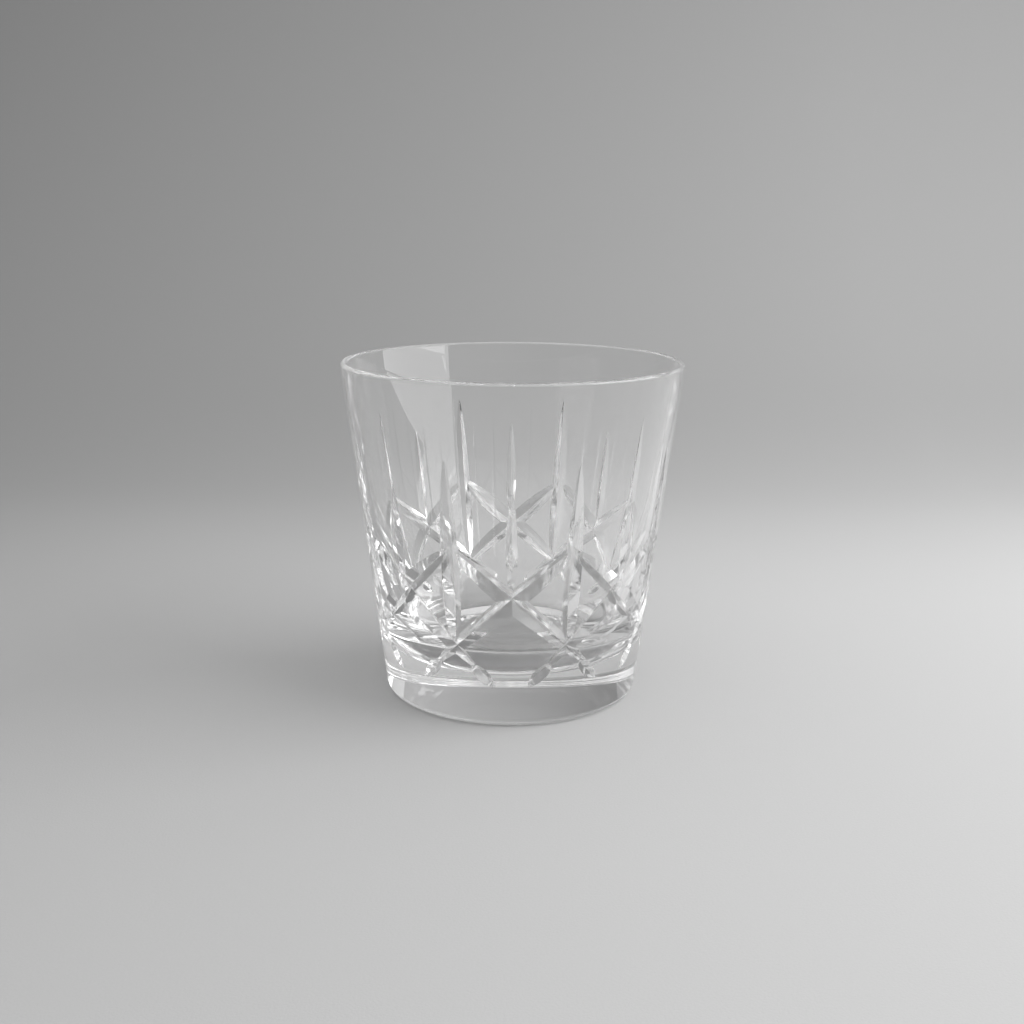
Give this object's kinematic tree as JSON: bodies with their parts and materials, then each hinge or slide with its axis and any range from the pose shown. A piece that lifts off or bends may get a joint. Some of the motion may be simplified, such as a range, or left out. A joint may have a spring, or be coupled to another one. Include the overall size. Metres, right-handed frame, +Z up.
{
  "type": "cut-crystal tumbler",
  "caption": "Old-fashioned drinking tumbler of clear cut crystal: tapered round wall, thick flat base, rounded lip, mitre-cut spears, crossed diagonals and leaf tips.",
  "frame": {"origin": "centre of the flat underside of the base", "axes": "+Z up along the axis of the glass, -Y towards the front, which is centred on a short spear"},
  "size_m": [0.085, 0.085, 0.0845],
  "materials": {
    "lead_crystal": "colourless lead crystal, fire-polished lip and inside, wheel-cut and acid-polished mitres, ground and polished underside"
  },
  "bodies": {
    "root": {"crystal_tumbler": "lead_crystal"}
  },
  "joints": []
}
